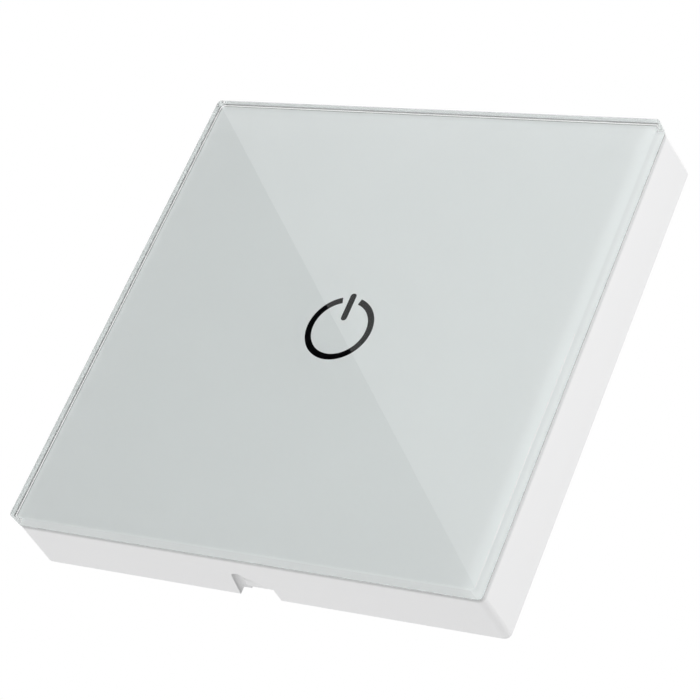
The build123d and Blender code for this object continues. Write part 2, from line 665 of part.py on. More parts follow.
# Terminal block: one moulding with three chambers.
# Each chamber has a wire entry below, a clamp cage in the middle and a screw well to the rear.
clamp_open_low = board_rear - 0.8
clamp_open_high = clamp_open_low - 8.6
clamp_travel = 3.5
bar_low = clamp_open_low - 5.2
bar_high = bar_low - 1.0
screw_tip = bar_high - 0.05
head_low = clamp_open_high - clamp_travel - 0.5
head_high = head_low - 1.9
clamp_place = (clamp_low + clamp_high) / 2
clamp_length = clamp_high - clamp_low
bar_width = 3.6
bar_end = terminal_high - 0.9
bar_length = bar_end - (clamp_low + 0.3)
bars = [(x, bar_end - bar_length / 2) for x in terminal_places]
tail_thickness = 0.8
tails = [(x, bar_end - tail_thickness / 2) for x in terminal_places]
with BuildPart() as terminal_block:
    block_length = terminal_high - terminal_low
    block_place = (0, (terminal_high + terminal_low) / 2)
    block([block_place], (terminal_count * terminal_pitch + 1.6, block_length), terminal_rear, board_rear,
          corner=terminal_edge_round)
    fillet(terminal_block.faces().sort_by(Axis.Y)[-1].edges(), terminal_edge_round)
    chambers = [(x, clamp_place) for x in terminal_places]
    chamber_size = (clamp_width + 0.4, clamp_length + 0.4)
    block(chambers, chamber_size, head_low + 0.1, board_rear - 0.5, mode=Mode.SUBTRACT)
    rod(chambers, 2.75, terminal_rear, head_low + 0.1, mode=Mode.SUBTRACT)
    # Wire entries through the lower wall
    entries = [(x, terminal_low) for x in terminal_places]
    block(entries, (5.2, 2 * (clamp_low - terminal_low) + 0.4), bar_low, clamp_open_low + 0.3,
          mode=Mode.SUBTRACT)
    # Slots in the upper wall that hold the contact bars and their tails
    block(bars, (bar_width, bar_length), bar_high, bar_low, mode=Mode.SUBTRACT)
    block(tails, (bar_width, tail_thickness), bar_low, board_rear, mode=Mode.SUBTRACT)
save(terminal_block, "terminal_block")

# Tinned bars that the wires are clamped against, each with a tail down to the board
with BuildPart() as terminal_contacts:
    block(bars, (bar_width, bar_length), bar_high, bar_low)
    block(tails, (bar_width, tail_thickness), bar_low, board_rear)
save(terminal_contacts, "terminal_contacts")

for number, across in enumerate(terminal_places, start=1):
    # Rising cage with a threaded top, open along the wire
    with BuildPart() as terminal_clamp:
        block([(across, clamp_place)], (clamp_width, clamp_length), clamp_open_high, clamp_open_low)
        cage_window = (clamp_width - 2 * clamp_wall, clamp_length)
        block([(across, clamp_place)], cage_window, clamp_open_high + 1.6, clamp_open_low - 1.0,
              mode=Mode.SUBTRACT)
        rod([(across, clamp_place)], screw_radius + screw_fit, clamp_open_high, clamp_open_high + 1.6,
            mode=Mode.SUBTRACT)
    save(terminal_clamp, f"terminal_clamp_{number}")

    # Captive screw with a slotted cheese head
    with BuildPart() as terminal_screw:
        rod([(across, clamp_place)], 2.5, head_high, head_low)
        rod([(across, clamp_place)], screw_radius, head_low, screw_tip)
        chamfer(terminal_screw.faces().sort_by(Axis.Y)[-1].edges(), 0.25)
        block([(across, clamp_place)], (5.2, 0.7), head_high, head_high + 0.9, mode=Mode.SUBTRACT)
        block([(across, clamp_place)], (0.7, 2.8), head_high, head_high + 0.9, mode=Mode.SUBTRACT)
    save(terminal_screw, f"terminal_screw_{number}")
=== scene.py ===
import bpy
import bmesh
import json
import math
import numpy as np
from mathutils import Matrix, Vector


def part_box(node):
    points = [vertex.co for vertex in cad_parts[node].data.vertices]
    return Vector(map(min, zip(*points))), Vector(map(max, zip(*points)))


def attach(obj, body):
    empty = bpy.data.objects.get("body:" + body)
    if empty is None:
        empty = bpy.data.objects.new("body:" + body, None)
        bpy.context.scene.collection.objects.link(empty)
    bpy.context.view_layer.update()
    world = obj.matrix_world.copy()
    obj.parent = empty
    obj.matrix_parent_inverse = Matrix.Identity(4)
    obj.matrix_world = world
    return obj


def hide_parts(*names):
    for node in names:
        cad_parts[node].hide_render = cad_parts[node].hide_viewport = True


# The switch hangs on the wall plane y = 0. Its glass faces -Y and Z is up. Lengths are metres.
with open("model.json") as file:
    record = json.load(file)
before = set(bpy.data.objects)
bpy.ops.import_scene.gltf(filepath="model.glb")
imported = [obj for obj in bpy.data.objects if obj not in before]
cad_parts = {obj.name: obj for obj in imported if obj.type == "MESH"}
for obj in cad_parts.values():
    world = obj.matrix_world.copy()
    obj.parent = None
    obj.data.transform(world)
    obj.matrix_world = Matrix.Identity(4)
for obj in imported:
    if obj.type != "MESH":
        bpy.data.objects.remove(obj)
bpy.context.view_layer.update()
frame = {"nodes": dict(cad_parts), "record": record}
nodes = frame["nodes"]
print("frame loaded:", len(nodes), "nodes")


# Camera at the photograph's place
cameraView = {
    "place": (0.20918, -0.28821, -0.17237),
    "right": (0.85013, 0.38683, 0.35727),
    "up": (-0.07699, -0.57988, 0.81105),
    "lens": 124.81,
    "sensor": 36.0,
    "shift": (-0.0654, -0.0744),
    "clip": (0.01, 20.0),
}


def linkObject(name, data):
    made = bpy.data.objects.new(name, data)
    bpy.context.scene.collection.objects.link(made)
    return made


def makeCamera(view):
    # The three axes are made square to each other: back = right x up, and then up = back x right
    data = bpy.data.cameras.new("photoCamera")
    data.sensor_width = view["sensor"]
    data.lens = view["lens"]
    data.shift_x, data.shift_y = view["shift"]
    data.clip_start, data.clip_end = view["clip"]
    camera = linkObject("photoCamera", data)
    right = Vector(view["right"]).normalized()
    back = right.cross(Vector(view["up"])).normalized()
    turn = Matrix((right, back.cross(right), back)).transposed()
    camera.matrix_world = Matrix.Translation(view["place"]) @ turn.to_4x4()
    bpy.context.scene.camera = camera


makeCamera(cameraView)
bpy.context.scene.view_settings.view_transform = "Standard"
print("camera placed")


# Node helpers
def addNode(tree, kind, sockets=None, **settings):
    # Settings are the node's own properties. Sockets hold plain values or the outputs that feed them.
    node = tree.nodes.new(kind)
    for name, value in settings.items():
        setattr(node, name, value)
    for name, value in (sockets or {}).items():
        if isinstance(value, bpy.types.NodeSocket):
            tree.links.new(value, node.inputs[name])
        else:
            node.inputs[name].default_value = value
    return node


def mathNode(tree, operation, first, second=0.0, clamp=False):
    node = addNode(tree, "ShaderNodeMath", {0: first, 1: second}, operation=operation, use_clamp=clamp)
    return node.outputs[0]


def blankMaterial(name):
    material = bpy.data.materials.new(name)
    material.use_nodes = True
    material.node_tree.nodes.clear()
    return material, material.node_tree


# Studio: a white room and a pale floor
studio = {
    "level": 0.3,              # light from all round
    "upperLight": 1.02,        # more from above
    "frontLight": 0.52,        # and from the front
    "backdrop": 1.0,           # what the camera, the gloss and the clear glass see
    "floorHeight": -0.25,
    "floorHalfSide": 3.0,
    "floorShade": 0.735,       # what the object receives back from the floor
    "floorSeenShade": 1.0,     # what the camera sees
}


def directView(tree):
    # 1 for rays that carry the picture itself: from the camera, mirrored, or through clear glass.
    # 0 for light, which has met a dull surface before
    paths = addNode(tree, "ShaderNodeLightPath").outputs
    seen = mathNode(tree, "MAXIMUM", paths["Is Camera Ray"], paths["Is Glossy Ray"])
    seen = mathNode(tree, "MAXIMUM", seen, paths["Is Transmission Ray"])
    before = mathNode(tree, "LESS_THAN", paths["Diffuse Depth"], 0.5)
    return mathNode(tree, "MULTIPLY", seen, before)


def makeWorld(values):
    # Light from direction d: level + upperLight * max(0, d.z) + frontLight * max(0, -d.y)
    world = bpy.data.worlds.new("studioWorld")
    bpy.context.scene.world = world
    world.use_nodes = True
    tree = world.node_tree
    tree.nodes.clear()
    toward = addNode(tree, "ShaderNodeTexCoord").outputs["Generated"]
    parts = addNode(tree, "ShaderNodeSeparateXYZ", {"Vector": toward}).outputs
    light = values["level"]
    for axis, sign, name in (("Z", 1.0, "upperLight"), ("Y", -1.0, "frontLight")):
        lobe = mathNode(tree, "MULTIPLY", parts[axis], sign * values[name], clamp=True)
        light = mathNode(tree, "ADD", light, lobe)
    level = addNode(tree, "ShaderNodeMapRange",
                    {"Value": directView(tree), "To Min": light, "To Max": values["backdrop"]})
    sky = addNode(tree, "ShaderNodeBackground",
                  {"Color": (1, 1, 1, 1), "Strength": level.outputs["Result"]})
    addNode(tree, "ShaderNodeOutputWorld", {"Surface": sky.outputs[0]})


def makeFloor(values):
    # A level square. Seen from below it is clear, so that it never hides the switch
    half, height = values["floorHalfSide"], values["floorHeight"]
    corners = [(-half, -half, height), (half, -half, height), (half, half, height), (-half, half, height)]
    mesh = bpy.data.meshes.new("studioFloor")
    mesh.from_pydata(corners, [], [(0, 1, 2, 3)])
    floor = linkObject("studioFloor", mesh)
    material, tree = blankMaterial("paleFloor")
    below = addNode(tree, "ShaderNodeNewGeometry").outputs["Backfacing"]
    fromCamera = addNode(tree, "ShaderNodeLightPath").outputs["Is Camera Ray"]
    shade = addNode(tree, "ShaderNodeMapRange",
                    {"Value": directView(tree), "To Min": values["floorShade"],
                     "To Max": values["floorSeenShade"]})
    white = addNode(tree, "ShaderNodeBsdfDiffuse", {"Color": shade.outputs["Result"]})
    clear = addNode(tree, "ShaderNodeBsdfTransparent")
    hidden = mathNode(tree, "MULTIPLY", below, fromCamera)
    both = addNode(tree, "ShaderNodeMixShader", {0: hidden, 1: white.outputs[0], 2: clear.outputs[0]})
    addNode(tree, "ShaderNodeOutputMaterial", {"Surface": both.outputs[0]})
    mesh.materials.append(material)


makeWorld(studio)
makeFloor(studio)

# The glass mirrors the pale room, and a black three-cornered flag in part of it. The flag's long edge makes
# the diagonal on the panel
mirrorFlag = {
    "edgeMiddle": (-0.5231, -0.700, 0.4317),
    "along": (0.7093, 0.0, -0.7049),
    "inward": (-0.7049, 0.0, -0.7093),
    "reach": 0.25,
}

# Soft lamps: middle, the point they face, side lengths and radiance
softLamps = {
    "sideLamp": {"place": (0.14, -0.20, 0.06), "aim": (0.02, 0, 0), "size": (0.10, 0.10),
                 "radiance": 7.4},
}


def makeFlag(spec):
    # Black velvet that only mirrored rays see: two corners along its long edge, and one inward
    start, along, inward = Vector(spec["edgeMiddle"]), Vector(spec["along"]), Vector(spec["inward"])
    reach = spec["reach"]
    mesh = bpy.data.meshes.new("blackFlag")
    mesh.from_pydata([start - along * reach, start + along * reach, start + inward * reach],
                     [], [(0, 1, 2)])
    flag = linkObject("blackFlag", mesh)
    material, tree = blankMaterial("blackVelvet")
    black = addNode(tree, "ShaderNodeBsdfDiffuse", {"Color": (0, 0, 0, 1)})
    addNode(tree, "ShaderNodeOutputMaterial", {"Surface": black.outputs[0]})
    mesh.materials.append(material)
    flag.visible_camera = flag.visible_diffuse = flag.visible_shadow = flag.visible_transmission = False


def makeLamps(lamps):
    # A lamp's energy in watts is radiance * pi * area. Its image in the rim of the glass would be a hard
    # white line, so rays through glass don't meet it
    for name, spec in lamps.items():
        data = bpy.data.lights.new(name, "AREA")
        data.shape = "RECTANGLE"
        data.size, data.size_y = spec["size"]
        data.energy = spec["radiance"] * math.pi * data.size * data.size_y
        lamp = linkObject(name, data)
        lamp.visible_camera = lamp.visible_transmission = False
        lamp.location = spec["place"]
        lamp.rotation_mode = "QUATERNION"
        toward = Vector(spec["aim"]) - Vector(spec["place"])
        lamp.rotation_quaternion = toward.to_track_quat("-Z", "Y")


makeFlag(mirrorFlag)
makeLamps(softLamps)
print("studio lit")


# Shared effects. Most of a noise lies between these two values
noiseSpan = {"From Min": 0.3, "From Max": 0.7}


def newGroup(name, inputs, outputs):
    # Inputs are numbers with their defaults, by name. Outputs are names of numbers
    group = bpy.data.node_groups.new(name, "ShaderNodeTree")
    for label, default in inputs.items():
        socket = group.interface.new_socket(label, in_out="INPUT", socket_type="NodeSocketFloat")
        socket.default_value = default
    for label in outputs:
        group.interface.new_socket(label, in_out="OUTPUT", socket_type="NodeSocketFloat")
    return group, addNode(group, "NodeGroupInput").outputs


def objectPlace(tree):
    return addNode(tree, "ShaderNodeTexCoord").outputs["Object"]


def placeParts(tree):
    return addNode(tree, "ShaderNodeSeparateXYZ", {"Vector": objectPlace(tree)}).outputs


def noise(tree, place, scale, detail, **more):
    values = {"Vector": place, "Scale": scale, "Detail": detail, **more}
    return addNode(tree, "ShaderNodeTexNoise", values).outputs["Fac"]


mouldTexture = {"fineDetail": 3.0, "fineRoughness": 0.6, "broadScale": 40.0, "broadDetail": 2.0}


def makeMouldGrain(texture):
    # Spark-eroded mould texture: fine noise for the height, and broad noise for the sheen and the tone.
    # tone = 1 + mottle * (broad noise - 0.5)
    group, given = newGroup("mouldGrain", {"Grain Size": 0.0003, "Mottle": 0.02},
                            ["Height", "Mask", "Tone"])
    place = objectPlace(group)
    scale = mathNode(group, "DIVIDE", 1.0, given["Grain Size"])
    fine = noise(group, place, scale, texture["fineDetail"], Roughness=texture["fineRoughness"])
    broad = noise(group, place, texture["broadScale"], texture["broadDetail"])
    swing = mathNode(group, "SUBTRACT", broad, 0.5)
    tone = mathNode(group, "ADD", mathNode(group, "MULTIPLY", swing, given["Mottle"]), 1.0)
    addNode(group, "NodeGroupOutput", {"Height": fine, "Mask": broad, "Tone": tone})
    return group


# Ten and a half cells are added, which keeps the place positive and puts a print in the middle
ejectorGrid = {"shift": 10.5, "rimWidth": 0.00008}


def makeEjectorMarks(grid):
    # Shallow round prints of the ejector pins, on a square grid across the wall plane: 1 inside a print.
    # In each cell, (radius - distance from its middle) / width of the rim, kept within 0 and 1
    group, given = newGroup("ejectorMarks", {"Spacing": 0.02, "Radius": 0.0015}, ["Print"])
    parts = placeParts(group)
    squares = []
    for axis in ("X", "Z"):
        cell = mathNode(group, "DIVIDE", parts[axis], given["Spacing"])
        cell = mathNode(group, "FRACT", mathNode(group, "ADD", cell, grid["shift"]))
        offset = mathNode(group, "MULTIPLY", mathNode(group, "SUBTRACT", cell, 0.5), given["Spacing"])
        squares.append(mathNode(group, "POWER", mathNode(group, "ABSOLUTE", offset), 2.0))
    away = mathNode(group, "SQRT", mathNode(group, "ADD", *squares))
    rim = mathNode(group, "SUBTRACT", given["Radius"], away)
    inside = mathNode(group, "DIVIDE", rim, grid["rimWidth"], clamp=True)
    addNode(group, "NodeGroupOutput", {"Print": inside})
    return group


metalTexture = {"fineScale": 9000.0, "fineDetail": 2.0, "broadScale": 700.0, "broadDetail": 3.0,
                "darkTone": 0.90, "lightTone": 1.04}


def makeMetalGrain(texture):
    # Drawing and plating marks: noise stretched along X for the height, and blotches for sheen and tone
    group, given = newGroup("metalGrain", {"Stretch": 8.0}, ["Height", "Mask", "Tone"])
    parts = placeParts(group)
    along = mathNode(group, "DIVIDE", parts["X"], given["Stretch"])
    place = addNode(group, "ShaderNodeCombineXYZ", {"X": along, "Y": parts["Y"], "Z": parts["Z"]})
    fine = noise(group, place.outputs[0], texture["fineScale"], texture["fineDetail"])
    broad = noise(group, objectPlace(group), texture["broadScale"], texture["broadDetail"])
    tone = addNode(group, "ShaderNodeMapRange",
                   {"Value": broad, "To Min": texture["darkTone"], "To Max": texture["lightTone"],
                    **noiseSpan})
    addNode(group, "NodeGroupOutput", {"Height": fine, "Mask": broad, "Tone": tone.outputs["Result"]})
    return group


def makeWireTurnsAndPaintedShade():
    # Turns of wound wire along Y. Height of a row of round wires: |sin(pi * y / pitch)|.
    # Painted shade: the valleys between them have half the tone
    group, given = newGroup("wireTurnsAndPaintedShade", {"Pitch": 0.00025}, ["Height", "Tone"])
    turn = mathNode(group, "DIVIDE", placeParts(group)["Y"], given["Pitch"])
    crest = mathNode(group, "ABSOLUTE", mathNode(group, "SINE", mathNode(group, "MULTIPLY", turn, math.pi)))
    tone = mathNode(group, "ADD", mathNode(group, "MULTIPLY", crest, 0.5), 0.5)
    addNode(group, "NodeGroupOutput", {"Height": crest, "Tone": tone})
    return group


# Tracks as a brick pattern, with lengths in which a row is 0.5. The weave's turn is in radians per metre
trackTexture = {"row": 0.5, "length": 2.6, "gap": 0.06, "gapBlur": 0.1, "shift": 0.37, "weaveTurn": 9000.0}


def makeBoardPattern(texture):
    # Copper under the solder mask, 1 on a track, and the weave of the laminate: sin(turn x) * sin(turn z)
    group, given = newGroup("boardPattern", {"Track Spacing": 0.0012}, ["Track", "Weave"])
    parts = placeParts(group)
    flat = addNode(group, "ShaderNodeCombineXYZ", {"X": parts["X"], "Y": parts["Z"]}).outputs[0]
    scale = mathNode(group, "DIVIDE", texture["row"], given["Track Spacing"])
    brick = addNode(group, "ShaderNodeTexBrick",
                    {"Vector": flat, "Scale": scale, "Mortar Size": texture["gap"],
                     "Mortar Smooth": texture["gapBlur"], "Brick Width": texture["length"],
                     "Row Height": texture["row"]}, offset=texture["shift"], offset_frequency=2)
    threads = [mathNode(group, "SINE", mathNode(group, "MULTIPLY", parts[axis], texture["weaveTurn"]))
               for axis in ("X", "Z")]
    weave = mathNode(group, "MULTIPLY", *threads)
    addNode(group, "NodeGroupOutput", {"Track": brick.outputs["Fac"], "Weave": weave})
    return group


mouldGrain = makeMouldGrain(mouldTexture)
ejectorMarks = makeEjectorMarks(ejectorGrid)
metalGrain = makeMetalGrain(metalTexture)
wireTurnsAndPaintedShade = makeWireTurnsAndPaintedShade()
boardPattern = makeBoardPattern(trackTexture)


def finishMaterial(tree, sockets):
    shader = addNode(tree, "ShaderNodeBsdfPrincipled", sockets)
    addNode(tree, "ShaderNodeOutputMaterial", {"Surface": shader.outputs["BSDF"]})


def placeGroup(tree, group, **values):
    # Value names are written in one word here, such as GrainSize for the socket Grain Size
    node = addNode(tree, "ShaderNodeGroup", node_tree=group)
    for socket in node.inputs:
        socket.default_value = values[socket.name.replace(" ", "")]
    return node.outputs


def toned(tree, colour, tone):
    # colour * tone
    scaled = addNode(tree, "ShaderNodeVectorMath", {0: colour, "Scale": tone}, operation="SCALE")
    return scaled.outputs["Vector"]


def spreadSheen(tree, mask, roughness, swing):
    # Roughness from roughness - swing to roughness + swing, as the mask goes over the span of a noise
    sheen = addNode(tree, "ShaderNodeMapRange", {"Value": mask, "To Min": roughness - swing,
                                                 "To Max": roughness + swing, **noiseSpan})
    return sheen.outputs["Result"]


def raised(tree, height, depth):
    bump = addNode(tree, "ShaderNodeBump", {"Height": height, "Distance": depth, "Strength": 1.0})
    return bump.outputs["Normal"]


# What a finish has unless it says otherwise
usualPlastic = {"grain": 0.0003, "mottle": 0.04, "depth": 0.000003, "swing": 0.03, "seam": None,
                "ejectorSpacing": None, "printRadius": 0.0015, "printDepth": 6.0}
usualMetal = {"stretch": 8.0, "swing": 0.07, "depth": 0.0000015}
usualWire = {"stretch": 8.0, "swing": 0.06}
usualBoard = {"trackSpacing": 0.0012, "grain": 0.0006, "mottle": 0.05, "weaveHeight": 0.05, "swing": 0.05,
              "depth": 0.00002, "reach": None, "laminate": (0.42, 0.40, 0.24)}
usualGlass = {"edgeBlur": 0.000005, "index": 1.5}


def mouldedPlastic(name, spec):
    # Colour * tone of the grain, times painted shade near a seam where one is given. Height of the grain,
    # less the prints of ejector pins
    spec = {**usualPlastic, **spec}
    material, tree = blankMaterial(name)
    grain = placeGroup(tree, mouldGrain, GrainSize=spec["grain"], Mottle=spec["mottle"])
    height = grain["Height"]
    tone = grain["Tone"]
    if spec["seam"]:
        # Painted shade at the seam: the depth where it is darkest, the depth where that ends, and the share
        # of light left
        darkestPaintedShade, gone, share = spec["seam"]
        seam = addNode(tree, "ShaderNodeMapRange",
                       {"Value": placeParts(tree)["Y"], "From Min": darkestPaintedShade, "From Max": gone,
                        "To Min": share, "To Max": 1.0}, interpolation_type="SMOOTHSTEP")
        tone = mathNode(tree, "MULTIPLY", tone, seam.outputs["Result"])
    if spec["ejectorSpacing"]:
        marks = placeGroup(tree, ejectorMarks, Spacing=spec["ejectorSpacing"], Radius=spec["printRadius"])
        sunk = mathNode(tree, "MULTIPLY", marks["Print"], spec["printDepth"])
        height = mathNode(tree, "SUBTRACT", height, sunk)
    finishMaterial(tree, {"Base Color": toned(tree, spec["colour"], tone),
                          "Roughness": spreadSheen(tree, grain["Mask"], spec["roughness"], spec["swing"]),
                          "Normal": raised(tree, height, spec["depth"])})
    return material


def plainMetal(name, spec):
    # Colour * tone of the grain, with drawing marks
    spec = {**usualMetal, **spec}
    material, tree = blankMaterial(name)
    grain = placeGroup(tree, metalGrain, Stretch=spec["stretch"])
    finishMaterial(tree, {"Base Color": toned(tree, spec["colour"], grain["Tone"]), "Metallic": 1.0,
                          "Roughness": spreadSheen(tree, grain["Mask"], spec["roughness"], spec["swing"]),
                          "Normal": raised(tree, grain["Height"], spec["depth"])})
    return material


def woundWire(name, spec):
    # Colour * tone of the turns, which is painted shade in the valleys. A round wire stands out by half the
    # pitch
    spec = {**usualWire, **spec}
    material, tree = blankMaterial(name)
    grain = placeGroup(tree, metalGrain, Stretch=spec["stretch"])
    turns = placeGroup(tree, wireTurnsAndPaintedShade, Pitch=spec["pitch"])
    finishMaterial(tree, {"Base Color": toned(tree, spec["colour"], turns["Tone"]), "Metallic": 1.0,
                          "Roughness": spreadSheen(tree, grain["Mask"], spec["roughness"], spec["swing"]),
                          "Normal": raised(tree, turns["Height"], spec["pitch"] / 2)})
    return material


def circuitBoard(name, spec):
    # Solder mask over copper tracks. The rim of the board, past the reach across or up, is bare laminate
    spec = {**usualBoard, **spec}
    material, tree = blankMaterial(name)
    pattern = placeGroup(tree, boardPattern, TrackSpacing=spec["trackSpacing"])
    grain = placeGroup(tree, mouldGrain, GrainSize=spec["grain"], Mottle=spec["mottle"])
    mask = addNode(tree, "ShaderNodeMix", {"Factor": pattern["Track"], "A": (*spec["colour"], 1),
                                           "B": (*spec["trackColour"], 1)}, data_type="RGBA")
    colour = mask.outputs["Result"]
    if spec["reach"]:
        parts = placeParts(tree)
        past = [mathNode(tree, "GREATER_THAN", mathNode(tree, "ABSOLUTE", parts[axis]), reach)
                for axis, reach in zip(("X", "Z"), spec["reach"])]
        rim = addNode(tree, "ShaderNodeMix", {"Factor": mathNode(tree, "MAXIMUM", *past), "A": colour,
                                              "B": (*spec["laminate"], 1)}, data_type="RGBA")
        colour = rim.outputs["Result"]
    weave = mathNode(tree, "MULTIPLY", pattern["Weave"], spec["weaveHeight"])
    height = mathNode(tree, "ADD", mathNode(tree, "MULTIPLY", pattern["Track"], spec["trackHeight"]), weave)
    finishMaterial(tree, {"Base Color": colour,
                          "Roughness": spreadSheen(tree, grain["Mask"], spec["roughness"], spec["swing"]),
                          "Normal": raised(tree, height, spec["depth"])})
    return material


def clearGlass(name, spec):
    # Painted shade: the sides listed, here only the bottom one, get a darker base colour than the faces:
    # axis, sign, where the side starts, and share
    spec = {**usualGlass, **spec}
    material, tree = blankMaterial(name)
    parts = placeParts(tree)
    light = 1.0
    for axis, sign, start, share in spec["sides"]:
        outward = mathNode(tree, "MULTIPLY", parts[axis], sign)
        through = addNode(tree, "ShaderNodeMapRange",
                          {"Value": outward, "From Min": start, "From Max": start + spec["edgeBlur"],
                           "To Min": 1.0, "To Max": share})
        light = mathNode(tree, "MULTIPLY", light, through.outputs["Result"])
    finishMaterial(tree, {"Base Color": toned(tree, spec["colour"], light), "Roughness": 0.0,
                          "IOR": spec["index"], "Transmission Weight": 1.0})
    return material


def fusedEnamel(name, spec):
    # Melted into the glass, so it has no shine of its own. Painted light: its colour is brightened near the
    # ground sides of the glass, where light entering by them would fall: axis, sign, glow, distances from
    # the middle where it is full and gone
    material, tree = blankMaterial(name)
    colour = (*spec["colour"], 1)
    if spec.get("edgeGlow"):
        parts = placeParts(tree)
        light = 1.0
        for axis, sign, paintedGlow, full, gone in spec["edgeGlow"]:
            outward = mathNode(tree, "MULTIPLY", parts[axis], sign)
            share = addNode(tree, "ShaderNodeMapRange",
                            {"Value": outward, "From Min": gone, "From Max": full, "To Min": 0.0,
                             "To Max": paintedGlow}, interpolation_type="SMOOTHSTEP")
            light = mathNode(tree, "ADD", light, share.outputs["Result"])
        colour = toned(tree, spec["colour"], light)
    finishMaterial(tree, {"Base Color": colour, "Roughness": 0.6, "Specular IOR Level": 0.0})
    return material


finishes = {
    # clear_glass: painted shade, its base colour darker on the bottom side only
    "clear_glass": (clearGlass, {"colour": (0.995, 0.999, 0.997), "sides": [("Z", -1.0, 0.04299, 0.75)]}),
    # white_enamel: painted light, its colour brighter near the edges of the glass
    "white_enamel": (fusedEnamel, {"colour": (0.879, 0.916, 0.913), "edgeGlow": [
        ("X", 1.0, 0.085, 0.0417, 0.0390), ("X", -1.0, 0.11, 0.0426, 0.0415),
        ("Z", 1.0, 0.02, 0.0420, 0.0410), ("Z", -1.0, 0.02, 0.0425, 0.0410)]}),
    "dark_print": (fusedEnamel, {"colour": (0.004, 0.004, 0.0045)}),
    "foam_tape": (mouldedPlastic, {"colour": (0.45, 0.46, 0.46), "roughness": 0.7}),
    # white_plastic: painted shade, darker towards its front edge in the seam under the glass
    "white_plastic": (mouldedPlastic, {"colour": (0.818, 0.818, 0.822), "roughness": 0.40, "mottle": 0.01,
                                       "seam": (-0.01042, -0.00975, 0.70)}),
    "diffuser": (mouldedPlastic, {"colour": (0.90, 0.90, 0.86), "roughness": 0.35}),
    "circuit_board": (circuitBoard, {"colour": (0.02, 0.13, 0.055), "trackColour": (0.05, 0.24, 0.10),
                                     "roughness": 0.3, "trackHeight": 1.0}),
    "white_circuit_board": (circuitBoard, {"colour": (0.70, 0.72, 0.69), "trackColour": (0.72, 0.74, 0.70),
                                           "roughness": 0.28, "trackHeight": 0.0,
                                           "reach": (0.02497, 0.02997)}),
    "spring_steel": (plainMetal, {"colour": (0.72, 0.72, 0.70), "roughness": 0.25}),
    "lamp": (mouldedPlastic, {"colour": (0.92, 0.86, 0.55), "roughness": 0.3}),
    "chip_black": (mouldedPlastic, {"colour": (0.03, 0.03, 0.032), "roughness": 0.5}),
    "tinned_can": (plainMetal, {"colour": (0.56, 0.56, 0.55), "roughness": 0.34, "stretch": 20.0}),
    "black_plastic": (mouldedPlastic, {"colour": (0.03, 0.03, 0.03), "roughness": 0.45}),
    "gold_pin": (plainMetal, {"colour": (0.83, 0.62, 0.24), "roughness": 0.25}),
    "base_plastic": (mouldedPlastic, {"colour": (0.76, 0.76, 0.77), "roughness": 0.45,
                                      "grain": 0.0004, "depth": 0.000005, "ejectorSpacing": 0.018}),
    "cover_plastic": (mouldedPlastic, {"colour": (0.70, 0.70, 0.71), "roughness": 0.5,
                                       "grain": 0.0004, "depth": 0.000006}),
    "screw_steel": (plainMetal, {"colour": (0.54, 0.53, 0.50), "roughness": 0.30}),
    "relay_plastic": (mouldedPlastic, {"colour": (0.03, 0.08, 0.22), "roughness": 0.4}),
    "bobbin_plastic": (mouldedPlastic, {"colour": (0.10, 0.10, 0.11), "roughness": 0.5}),
    "copper_wire": (woundWire, {"colour": (0.62, 0.26, 0.10), "roughness": 0.3, "pitch": 0.00025}),
    "soft_iron": (plainMetal, {"colour": (0.50, 0.50, 0.49), "roughness": 0.35}),
    "contact_metal": (plainMetal, {"colour": (0.78, 0.56, 0.36), "roughness": 0.3}),
    "ferrite": (mouldedPlastic, {"colour": (0.10, 0.10, 0.11), "roughness": 0.6}),
    "capacitor_sleeve": (mouldedPlastic, {"colour": (0.02, 0.03, 0.06), "roughness": 0.3}),
    "yellow_box": (mouldedPlastic, {"colour": (0.78, 0.58, 0.08), "roughness": 0.4}),
    "blue_coating": (mouldedPlastic, {"colour": (0.06, 0.20, 0.52), "roughness": 0.3}),
    "fuse_body": (mouldedPlastic, {"colour": (0.30, 0.42, 0.34), "roughness": 0.6}),
    "solder": (plainMetal, {"colour": (0.60, 0.60, 0.60), "roughness": 0.28, "stretch": 1.0}),
    "terminal_plastic": (mouldedPlastic, {"colour": (0.10, 0.34, 0.20), "roughness": 0.45}),
    "tinned_brass": (plainMetal, {"colour": (0.74, 0.70, 0.58), "roughness": 0.3}),
}
materials = {name: make(name + "Finish", spec) for name, (make, spec) in finishes.items()}
slotOf = {part["node"]: part["material_slot"] for part in frame["record"]["subparts"]}
for name, piece in nodes.items():
    piece.data.materials[0] = materials[slotOf[name]]
print("finishes made:", len(materials))


# Mesh helpers. Points nearer to each other than this are one: in a node's copy, and in joined parts
nodeMerge = 1e-7
partMerge = 1e-8


def openShape(mesh, mergeWithin=0.0):
    shape = bmesh.new()
    shape.from_mesh(mesh)
    if mergeWithin:
        bmesh.ops.remove_doubles(shape, verts=shape.verts, dist=mergeWithin)
    return shape


def closeShape(shape, mesh):
    shape.to_mesh(mesh)
    shape.free()


def copyMesh(node, name):
    mesh = nodes[node].data.copy()
    mesh.name = name
    return mesh


def smoothFaces(mesh):
    mesh.polygons.foreach_set("use_smooth", [True] * len(mesh.polygons))


def closedMesh(name, points, faces, slot, mergeWithin=0.0):
    # A smooth mesh of the points and faces, with every face outwards
    mesh = bpy.data.meshes.new(name)
    mesh.from_pydata(points.tolist(), [], faces)
    shape = openShape(mesh, mergeWithin)
    bmesh.ops.recalc_face_normals(shape, faces=shape.faces)
    closeShape(shape, mesh)
    smoothFaces(mesh)
    mesh.materials.append(materials[slot])
    return mesh


# Print fused to the glass
fusedPrint = {
    "back_print": {"piece": "fusedPrint", "slot": "white_enamel", "lift": 0.00002},
    "power_symbol": {"piece": "fusedSymbol", "slot": "dark_print", "lift": 0.000022},
}


